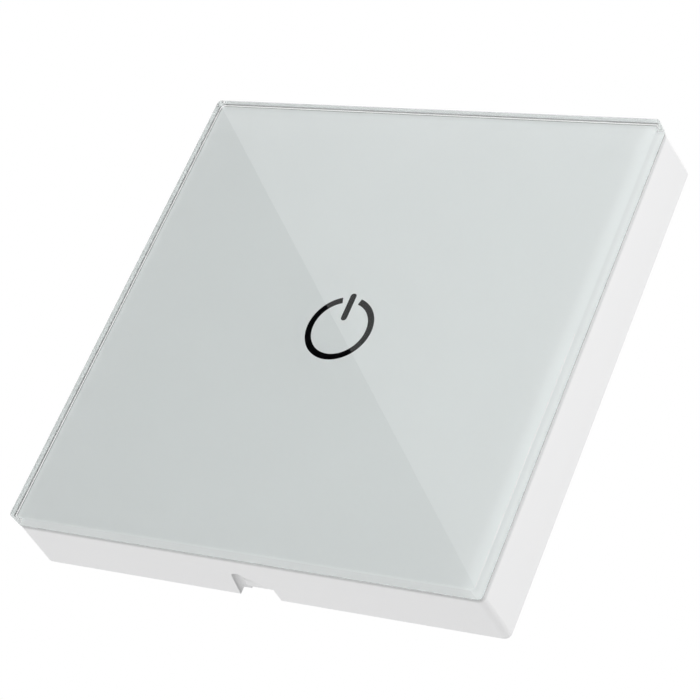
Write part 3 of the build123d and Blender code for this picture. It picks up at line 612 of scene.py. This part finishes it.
def fuseToGlass(layers):
    # The enamel is melted into the back of the glass, so its front face lies just inside the glass
    for node, spec in layers.items():
        mesh = copyMesh(node, spec["piece"])
        mesh.transform(Matrix.Translation((0, -spec["lift"], 0)))
        closeShape(openShape(mesh, nodeMerge), mesh)
        layer = linkObject(spec["piece"], mesh)
        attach(layer, "front")
        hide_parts(node)


fuseToGlass(fusedPrint)
print("print fused to the glass")

# Outer edges of the frame, softer than the bare shape. Its corners bend over a wider arc, and the front
# edge is rolled over. The seam under the glass is a dark line from this roll and from painted shade in the
# white plastic
softFrame = {"roll": 0.0003, "cuts": 7, "firstCut": 0.00002, "frontHalfSide": 0.0430,
             "rearHalfSide": 0.0434, "depth": 0.0105, "corner": 0.00035, "softCorner": 0.0011,
             "straightTo": 0.030, "sharpAngle": 40, "slack": 1e-6}


def makeFrame(spec):
    # Rings are cut into the wall near its front. Each point of the outer wall then moves in the plane of
    # the wall: on a corner along the ray from the arc's centre, elsewhere along the side, and in by the
    # inset of a quarter circle at its depth
    mesh = copyMesh("front_frame", "softFrame")
    front = np.array(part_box("front_frame"))[0, 1]
    shape = openShape(mesh, nodeMerge)
    for turn in np.linspace(0, math.pi / 2, spec["cuts"]):
        cut = front + spec["firstCut"] + spec["roll"] * (1 - math.cos(turn))
        bmesh.ops.bisect_plane(shape, geom=[*shape.verts, *shape.edges, *shape.faces],
                               plane_no=(0, 1, 0), plane_co=(0, cut, 0))
    closeShape(shape, mesh)
    points = np.empty(len(mesh.vertices) * 3)
    mesh.vertices.foreach_get("co", points)
    points = points.reshape(-1, 3)
    corner, softCorner, roll = spec["corner"], spec["softCorner"], spec["roll"]
    depth = points[:, 1] - front
    flare = (spec["rearHalfSide"] - spec["frontHalfSide"]) * depth / spec["depth"]
    half = spec["frontHalfSide"] + flare
    short = np.clip(roll - depth, 0, roll)
    inset = roll - np.sqrt(roll ** 2 - short ** 2)
    flat = np.abs(points[:, [0, 2]])
    away = flat - (half - corner)[:, None]
    length = np.maximum(np.linalg.norm(away, axis=1), 1e-9)   # never zero
    lost = np.where(depth < spec["depth"] / 2, inset, corner - length)
    arc = (half - softCorner)[:, None] + (softCorner - lost)[:, None] * away / length[:, None]
    slide = (softCorner - corner) / (half - corner - spec["straightTo"])
    along = flat - slide[:, None] * np.clip(flat - spec["straightTo"], 0, None)
    side = np.where(flat > flat[:, ::-1], np.minimum(flat, (half - inset)[:, None]), along)
    onArc = (away > -spec["slack"]).all(1)[:, None]
    onWall = (flat.max(1) > half - corner)[:, None]
    flat = np.where(onArc, arc, np.where(onWall, side, flat))
    points[:, [0, 2]] = np.sign(points[:, [0, 2]]) * flat
    mesh.vertices.foreach_set("co", points.ravel())
    smoothFaces(mesh)
    mesh.set_sharp_from_angle(angle=math.radians(spec["sharpAngle"]))
    piece = linkObject("softFrame", mesh)
    piece.modifiers.new("wallNormals", "WEIGHTED_NORMAL").keep_sharp = True
    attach(piece, "front")
    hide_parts("front_frame")


makeFrame(softFrame)
print("frame softened")

# Glass panel, ground with a small round arris all round
glassBox = np.array(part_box("glass_panel"))
glassPlate = {
    "side": glassBox[1, 0] - glassBox[0, 0],
    "front": glassBox[0, 1],
    "rear": glassBox[1, 1],
    "corner": 0.0008,
    "frontArris": 0.00025,
    "rearArris": 0.00006,
    "arcSteps": 8,
}


def gridFaces(rows, columns):
    # Quads between neighbouring rows of a grid that is numbered row by row. The last column meets the first
    row, column = np.meshgrid(np.arange(rows - 1), np.arange(columns), indexing="ij")
    beside = (column + 1) % columns
    here, above = row * columns, (row + 1) * columns
    return np.stack([here + column, here + beside, above + beside, above + column], -1).reshape(-1, 4)


def roundedOutline(sides, corner, steps):
    # Corner centres, and the outward directions along the four quarter arcs of a rounded rectangle
    angle = np.radians(np.arange(4)[:, None] * 90 + np.linspace(0, 90, steps + 1)[None, :]).ravel()
    outward = np.stack([np.cos(angle), np.sin(angle)], -1)
    quarter = np.radians(45 + 90 * np.repeat(np.arange(4), steps + 1))
    centre = np.sign(np.stack([np.cos(quarter), np.sin(quarter)], -1)) * (np.array(sides) / 2 - corner)
    return centre, outward


def makeGlass(plate):
    # Profile from the front face to the rear face: each station has an inset from the outer side, a depth
    # and a normal, and is carried round the rounded square
    quarter = np.radians(np.linspace(0, 90, plate["arcSteps"] + 1))
    small, large = plate["rearArris"], plate["frontArris"]
    inset = np.concatenate([large * (1 - np.sin(quarter)), small * (1 - np.cos(quarter))])
    depth = np.concatenate([plate["front"] + large * (1 - np.cos(quarter)),
                            plate["rear"] - small * (1 - np.sin(quarter))])
    across = np.concatenate([np.sin(quarter), np.cos(quarter)])
    along = np.concatenate([-np.cos(quarter), np.sin(quarter)])
    centre, outward = roundedOutline((plate["side"], plate["side"]), plate["corner"], plate["arcSteps"])
    reach = (plate["corner"] - inset)[:, None, None] * outward[None] + centre[None]
    rows, columns = reach.shape[:2]
    depth = np.broadcast_to(depth[:, None], (rows, columns))
    along = np.broadcast_to(along[:, None], (rows, columns))
    points = np.stack([reach[..., 0], depth, reach[..., 1]], -1)
    normals = np.stack([across[:, None] * outward[None, :, 0], along,
                        across[:, None] * outward[None, :, 1]], -1)
    faces = gridFaces(rows, columns).tolist()
    faces += [list(range(columns))[::-1], list(range((rows - 1) * columns, rows * columns))]
    mesh = closedMesh("glassPlate", points.reshape(-1, 3), faces, "clear_glass")
    mesh.normals_split_custom_set_from_vertices(normals.reshape(-1, 3).tolist())
    piece = linkObject("glassPlate", mesh)
    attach(piece, "front")
    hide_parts("glass_panel")


makeGlass(glassPlate)
print("glass made")

# Rear of the touch board, which faces the wall. Here lengths are millimetres: across, up and off the board
boardFace = np.array(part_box("touch_board"))[1, 1]
edgeAngle = 35


def ontoBoard(across, off, up):
    return np.stack([across / 1000, boardFace + off / 1000, up / 1000], -1)


def joinPiece(name, parts, slot, body, *standsFor):
    # One mesh from many closed parts: the corners of each part are numbered on from those before it
    counts = np.cumsum([0] + [len(points) for points, _ in parts])
    faces = [[corner + start for corner in face]
             for start, (_, partFaces) in zip(counts.tolist(), parts) for face in partFaces]
    mesh = closedMesh(name, np.vstack([points for points, _ in parts]), faces, slot, partMerge)
    mesh.set_sharp_from_angle(angle=math.radians(edgeAngle))
    piece = linkObject(name, mesh)
    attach(piece, body)
    if standsFor:
        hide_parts(*standsFor)


def roundedPads(centres, sides, corner, stations, steps=3):
    # A closed pad at each centre. A station (outset, height) is the rounded rectangle, that much larger, at
    # that height off the board. The lowest and highest are closed by flat faces
    centre, outward = roundedOutline(sides, corner, steps)
    outset, height = np.array(stations, float).T
    ring = centre[None] + (corner + outset)[:, None, None] * outward[None]
    rows, columns = ring.shape[:2]
    faces = gridFaces(rows, columns).tolist()
    faces += [list(range(columns)), list(range((rows - 1) * columns, rows * columns))]
    off = np.broadcast_to(height[:, None], (rows, columns))
    return [(ontoBoard(x + ring[..., 0], off, z + ring[..., 1]).reshape(-1, 3), faces) for x, z in centres]


def bentLead(root, side, spec):
    # A flat strip that leaves the body level, falls in a smooth step and runs out along the board. Its
    # section is a rectangle, carried along the curve (outward, height)
    out = np.linspace(-spec["inside"], spec["reach"], spec["points"])
    fall = np.clip((out - spec["fallFrom"]) / spec["fallOver"], 0, 1)
    high = spec["rootHeight"] + (spec["foot"] - spec["rootHeight"]) * fall * fall * (3 - 2 * fall)
    slope = np.gradient(high, out)
    level = np.stack([-slope, np.ones_like(slope)], -1) / np.hypot(slope, 1)[:, None]
    half = level * spec["thickness"] / 2
    outward = np.stack([out + half[:, 0], out + half[:, 0], out - half[:, 0], out - half[:, 0]], -1)
    off = np.stack([high + half[:, 1], high + half[:, 1], high - half[:, 1], high - half[:, 1]], -1)
    wide = np.broadcast_to(np.array([-1, 1, 1, -1]) * spec["width"] / 2, off.shape)
    faces = gridFaces(len(out), 4).tolist() + [[0, 1, 2, 3], [4 * len(out) - k for k in (1, 2, 3, 4)]]
    return ontoBoard(root[0] + side * outward, off, root[1] + wide).reshape(-1, 3), faces


def flatTrack(route, width, low, high, closed=False):
    # A flat ribbon along the route. At each point its sides are set off by half the width along the mitre
    line = np.array(route, float)
    before = np.roll(line, 1, 0) if closed else np.vstack([2 * line[:1] - line[1:2], line[:-1]])
    after = np.roll(line, -1, 0) if closed else np.vstack([line[1:], 2 * line[-1:] - line[-2:-1]])
    enter = (line - before) / np.linalg.norm(line - before, axis=1)[:, None]
    leave = (after - line) / np.linalg.norm(after - line, axis=1)[:, None]
    along = (enter + leave) / np.linalg.norm(enter + leave, axis=1)[:, None]
    mitre = np.stack([-along[:, 1], along[:, 0]], -1) / (along * enter).sum(1)[:, None] * width / 2
    left, right = line + mitre, line - mitre
    across = np.stack([left[:, 0], left[:, 0], right[:, 0], right[:, 0]], -1)
    up = np.stack([left[:, 1], left[:, 1], right[:, 1], right[:, 1]], -1)
    off = np.broadcast_to(np.array([low, high, high, low], float), across.shape)
    points = ontoBoard(across, off, up).reshape(-1, 3)
    if closed:
        points = np.vstack([points, points[:4]])
        return points, gridFaces(len(line) + 1, 4).tolist()
    ends = [[0, 1, 2, 3], [len(points) - k for k in (1, 2, 3, 4)]]
    return points, gridFaces(len(line), 4).tolist() + ends


# Foam tape, pressed until it nearly fills the seam, where its grey stands in for the gap's shade: painted
# shade in part. Its outer sides and corners, and its inner corners
pressedTape = {"outerSide": 0.0858, "outerCorner": 0.0009, "innerCorner": 0.0002, "arcSteps": 6}


def makeTape(spec):
    # A ring: two rounded squares, at the front and the rear of the bare ring, joined by four bands
    points = np.array([corner.co for corner in nodes["adhesive_frame"].data.vertices])
    front, rear = np.array(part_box("adhesive_frame"))[:, 1]
    outer = (spec["outerSide"], spec["outerCorner"])
    inner = (2 * np.abs(points[:, [0, 2]]).max(1).min(), spec["innerCorner"])
    bands = []
    for (side, corner), depth in ((outer, front), (outer, rear), (inner, rear), (inner, front),
                                  (outer, front)):
        centre, outward = roundedOutline((side, side), corner, spec["arcSteps"])
        line = centre + corner * outward
        bands.append(np.stack([line[:, 0], np.full(len(line), depth), line[:, 1]], -1))
    faces = gridFaces(len(bands), len(bands[0])).tolist()
    joinPiece("pressedTape", [(np.vstack(bands), faces)], "foam_tape", "front", "adhesive_frame")


makeTape(pressedTape)
print("tape pressed")

# Pads by form: sides, corner, stations (outset, height), and steps of an arc where they aren't three
padForms = {
    "leadSolder": ((1.3, 0.62), 0.1, [(0.0, 0.0), (0.0, 0.03), (-0.12, 0.09)]),
    "partBody": ((1.9, 1.22), 0.04, [(-0.02, 0.03), (0, 0.06), (0, 0.64), (-0.03, 0.68)]),
    "partEnd": ((0.44, 1.27), 0.06, [(-0.03, 0.02), (0, 0.05), (0, 0.67), (-0.04, 0.71)]),
    "partSolder": ((0.8, 1.3), 0.12, [(0.12, 0.0), (0.1, 0.04), (-0.1, 0.16), (-0.2, 0.36)]),
    "throughPad": ((0.7, 0.7), 0.34, [(0, 0.0), (0, 0.04), (-0.12, 0.06)], 6),
    "testPad": ((1.5, 1.5), 0.74, [(0, 0.0), (-0.02, 0.05)], 8),
    "radioSolder": ((0.9, 0.9), 0.4, [(0.15, 0.0), (0.0, 0.25), (-0.06, 0.84), (-0.2, 0.87)]),
    "canSolder": ((13.1, 16.5), 0.8, [(0, 0.8), (-0.05, 0.88), (-0.2, 0.95)]),
}

# Chips: middle, body sides, leads on each side, their pitch, and thickness
chips = {
    "touchController": {"node": "touch_chip", "middle": (12.0, 6.0), "body": (3.9, 4.9), "leads": 4,
                        "pitch": 1.27, "thickness": 1.5},
    "voltageRegulator": {"node": "voltage_regulator", "middle": (13.0, -6.5), "body": (3.5, 6.5),
                         "leads": 3, "pitch": 2.3, "thickness": 1.6},
}
# Drafted both ways from a parting line: outset, height as a share of the thickness, and more height
chipProfile = [(-0.12, 0, 0.10), (-0.02, 0.46, 0), (0.0, 0.5, 0), (-0.02, 0.54, 0), (-0.11, 1, -0.05),
               (-0.16, 1, 0)]
chipForm = {"corner": 0.2, "markSide": 0.6, "markCorner": 0.29, "markHeight": 0.012, "markSteps": 6,
            "markFromSide": 0.75, "leadInside": 0.05, "solderOut": 0.75}
leadForm = {"points": 16, "inside": 0.1, "reach": 1.0, "fallFrom": 0.18, "fallOver": 0.27, "foot": 0.12,
            "thickness": 0.16, "width": 0.42}


def makeChips(chips, form):
    # Each body is its profile round a rounded rectangle, with a small round print at the first lead. The
    # leads are spaced about the middle by their pitch. Returns the solder under the leads
    leads = []
    pads = []
    for name, chip in chips.items():
        middle, body, thick = chip["middle"], chip["body"], chip["thickness"]
        stations = [(outset, share * thick + more) for outset, share, more in chipProfile]
        parts = roundedPads([middle], body, form["corner"], stations)
        mark = (middle[0] - body[0] / 2 + form["markFromSide"],
                middle[1] + body[1] / 2 - form["markFromSide"])
        parts += roundedPads([mark], (form["markSide"], form["markSide"]), form["markCorner"],
                             [(0, thick), (0.0, thick + form["markHeight"])], form["markSteps"])
        joinPiece(name + "Body", parts, "chip_black", "front", chip["node"])
        for side in (-1, 1):
            for lead in range(chip["leads"]):
                up = middle[1] + (lead - (chip["leads"] - 1) / 2) * chip["pitch"]
                root = (middle[0] + side * (body[0] / 2 - form["leadInside"]), up)
                leads.append(bentLead(root, side, {**leadForm, "rootHeight": thick / 2}))
                pads.append((middle[0] + side * (body[0] / 2 + form["solderOut"]), up))
    joinPiece("chipLeads", leads, "solder", "front")
    return roundedPads(pads, *padForms["leadSolder"])


# Chip capacitors and resistors, all with their long side across
chipParts = {
    "places": [(12.0, 11.5), (12.0, 14.0), (17.5, 3.0), (17.5, 6.0), (17.5, 9.0), (7.0, -15.0),
               (10.5, -15.0), (14.0, -15.0), (17.5, -13.0), (-18.0, 12.0), (-18.0, 15.0)],
    "endAcross": 0.8,
    "solderOut": 0.15,
}


def makeChipParts(spec):
    # A body at each place, and an end cap at each end of it. Returns the solder at the ends
    places, across = spec["places"], spec["endAcross"]
    ends = [(x + side * across, z) for x, z in places for side in (-1, 1)]
    joinPiece("chipPartBodies", roundedPads(places, *padForms["partBody"]), "ferrite", "front",
              "board_capacitors")
    joinPiece("chipPartEnds", roundedPads(ends, *padForms["partEnd"]), "solder", "front")
    pads = [(x + side * (across + spec["solderOut"]), z) for x, z in places for side in (-1, 1)]
    return roundedPads(pads, *padForms["partSolder"])


# Routes of the tracks, and the round pads where some of them end
trackRoutes = [
    [(14.9, 5.37), (15.6, 5.37), (16.3, 6.0)],
    [(14.9, 4.1), (15.4, 4.1), (16.4, 3.1)],
    [(14.9, 7.9), (15.4, 7.9), (16.4, 8.9)],
    [(9.1, 7.9), (7.6, 7.9), (5.08, 10.4), (5.08, 17.7)],
    [(9.1, 6.63), (6.9, 6.63), (2.54, 11.0), (2.54, 17.7)],
    [(9.1, 5.37), (6.2, 5.37), (0.0, 11.6), (0.0, 17.7)],
    [(9.1, 4.1), (6.1, 4.1), (3.3, 1.3)],
    [(-2.54, 17.7), (-2.54, 12.0), (-6.0, 8.5), (-6.0, 4.0)],
    [(-5.08, 17.7), (-5.08, 13.0), (-9.0, 9.0), (-9.0, 4.0)],
    [(-17.0, 12.0), (-14.0, 12.0), (-11.5, 9.5), (-11.5, 4.0)],
    [(-17.0, 15.0), (-11.0, 15.0), (-7.2, 18.8), (-6.4, 18.8)],
    [(10.3, -4.2), (8.2, -4.2), (5.6, -1.6)],
    [(10.3, -6.5), (3.2, -6.5), (2.2, -6.0)],
    [(10.3, -8.8), (9.6, -8.8), (6.1, -12.3), (6.1, -14.5)],
    [(15.7, -8.8), (16.5, -9.6), (16.5, -12.6)],
    [(15.7, -4.2), (16.3, -4.2), (18.5, -2.0), (18.5, 2.6)],
    [(8.0, -15.0), (9.5, -15.0)],
    [(11.5, -15.0), (13.0, -15.0)],
    [(11.1, 11.5), (9.4, 11.5), (8.0, 10.1), (6.4, 10.1)],
    [(13.0, 14.0), (15.2, 14.0), (18.5, 10.7), (18.5, 9.4)],
]
roundPads = {
    "through": [(3.3, 1.3), (5.6, -1.6), (6.4, 10.1), (16.5, -16.8), (-21.0, 4.0), (-21.0, -2.0)],
    "test": [(-19.4, -23.2), (-17.0, -23.2), (-14.6, -23.2), (-12.2, -23.2)],
}
# Bundle of tracks from the left side of the radio board to the test pads. Each lane lies a step further
# right than the last, leaves two pads lower, and turns to its pad a little higher
bundle = {"start": -14.6, "lane": -20.8, "laneStep": 0.9, "firstPad": 6, "padsApart": 2, "bevel": 0.8,
          "turn": -21.6, "turnStep": 0.5, "land": -22.4, "landStep": 0.2}
radioModule = {"left": -14.0, "right": 2.0, "padLow": -16.0, "padCount": 8, "padStep": 2.0, "top": 0.8,
               "solderOut": 0.1, "goldIn": 0.75, "goldSides": (1.1, 1.0), "goldCorner": 0.1,
               "goldHeight": 0.03, "can": (-6.0, -10.5)}
# The aerial goes up and down across the free end of the radio board
aerial = {"first": -12.6, "step": 1.15, "legs": 10, "low": 0.0, "high": 3.1, "feed": -2.2, "width": 0.42}
# Outlines printed round the chips: low left and high right corners
printedOutlines = [((9.0, 3.0), (15.0, 9.0)), ((10.0, -10.4), (16.0, -2.6)), ((-6.9, 17.3), (6.9, 20.7)),
                   ((-14.9, -20.7), (2.9, 4.7))]
screwRings = {"across": 21.0, "up": 26.0, "radius": 2.7, "stepDegrees": 12}
# Ribbons: width, lowest and highest points off the board
trackRibbon = (0.32, 0.0, 0.035)
inkRibbon = (0.16, 0.0, 0.02)


def makeTracks():
    # The routes above, and the bundle: out of the radio board, round a bevel, down its lane, to its pad
    routes = list(trackRoutes)
    for number, (x, z) in enumerate(roundPads["test"]):
        lane = bundle["lane"] + bundle["laneStep"] * number
        leave = (radioModule["padLow"]
                 + radioModule["padStep"] * (bundle["firstPad"] - bundle["padsApart"] * number))
        turn = bundle["turn"] + bundle["turnStep"] * number
        land = bundle["land"] + bundle["landStep"] * number
        routes.append([(bundle["start"], leave), (lane + bundle["bevel"], leave),
                       (lane, leave - bundle["bevel"]), (lane, turn), (x, land), (x, z)])
    joinPiece("boardTracks", [flatTrack(route, *trackRibbon) for route in routes],
              "white_circuit_board", "front")


def makeSolder(sides, ups):
    # Solder at every lead, end cap, round pad and radio pad, and round the foot of the can
    pads = makeChips(chips, chipForm) + makeChipParts(chipParts)
    pads += roundedPads(roundPads["through"], *padForms["throughPad"])
    pads += roundedPads(roundPads["test"], *padForms["testPad"])
    edge = [(x - turn * radioModule["solderOut"], up) for x, turn in sides for up in ups]
    pads += roundedPads(edge, *padForms["radioSolder"])
    pads += roundedPads([radioModule["can"]], *padForms["canSolder"])
    joinPiece("boardSolder", pads, "solder", "front")


def makeGold(sides, ups):
    # Pads just inside the sides of the radio board, and the aerial: up, across, down, across and so on
    top, gilt = radioModule["top"], radioModule["top"] + radioModule["goldHeight"]
    gold = roundedPads([(x + turn * radioModule["goldIn"], up) for x, turn in sides for up in ups],
                       radioModule["goldSides"], radioModule["goldCorner"], [(0, top), (0, gilt)])
    leg = np.arange(2 * aerial["legs"])
    across = aerial["first"] + aerial["step"] * (leg // 2)
    up = np.where((leg + 1) // 2 % 2 == 0, aerial["low"], aerial["high"])
    route = [(aerial["first"], aerial["feed"])] + list(zip(across[1:], up[1:]))
    gold.append(flatTrack(route, aerial["width"], top, gilt))
    joinPiece("radioGold", gold, "gold_pin", "front")


def makeInk(rings):
    # Rectangles round the chips, and a circle round each of the four screws
    ink = [flatTrack([low, (high[0], low[1]), high, (low[0], high[1])], *inkRibbon, closed=True)
           for low, high in printedOutlines]
    turn = np.radians(np.arange(0, 360, rings["stepDegrees"]))
    circle = rings["radius"] * np.stack([np.cos(turn), np.sin(turn)], -1)
    for x in (-rings["across"], rings["across"]):
        for z in (-rings["up"], rings["up"]):
            ink.append(flatTrack(np.array([x, z]) + circle, *inkRibbon, closed=True))
    joinPiece("boardInk", ink, "chip_black", "front")


radioSides = [(radioModule["left"], 1), (radioModule["right"], -1)]
radioUps = [radioModule["padLow"] + radioModule["padStep"] * pad for pad in range(radioModule["padCount"])]
makeTracks()
makeSolder(radioSides, radioUps)
makeGold(radioSides, radioUps)
makeInk(screwRings)
print("touch board dressed")
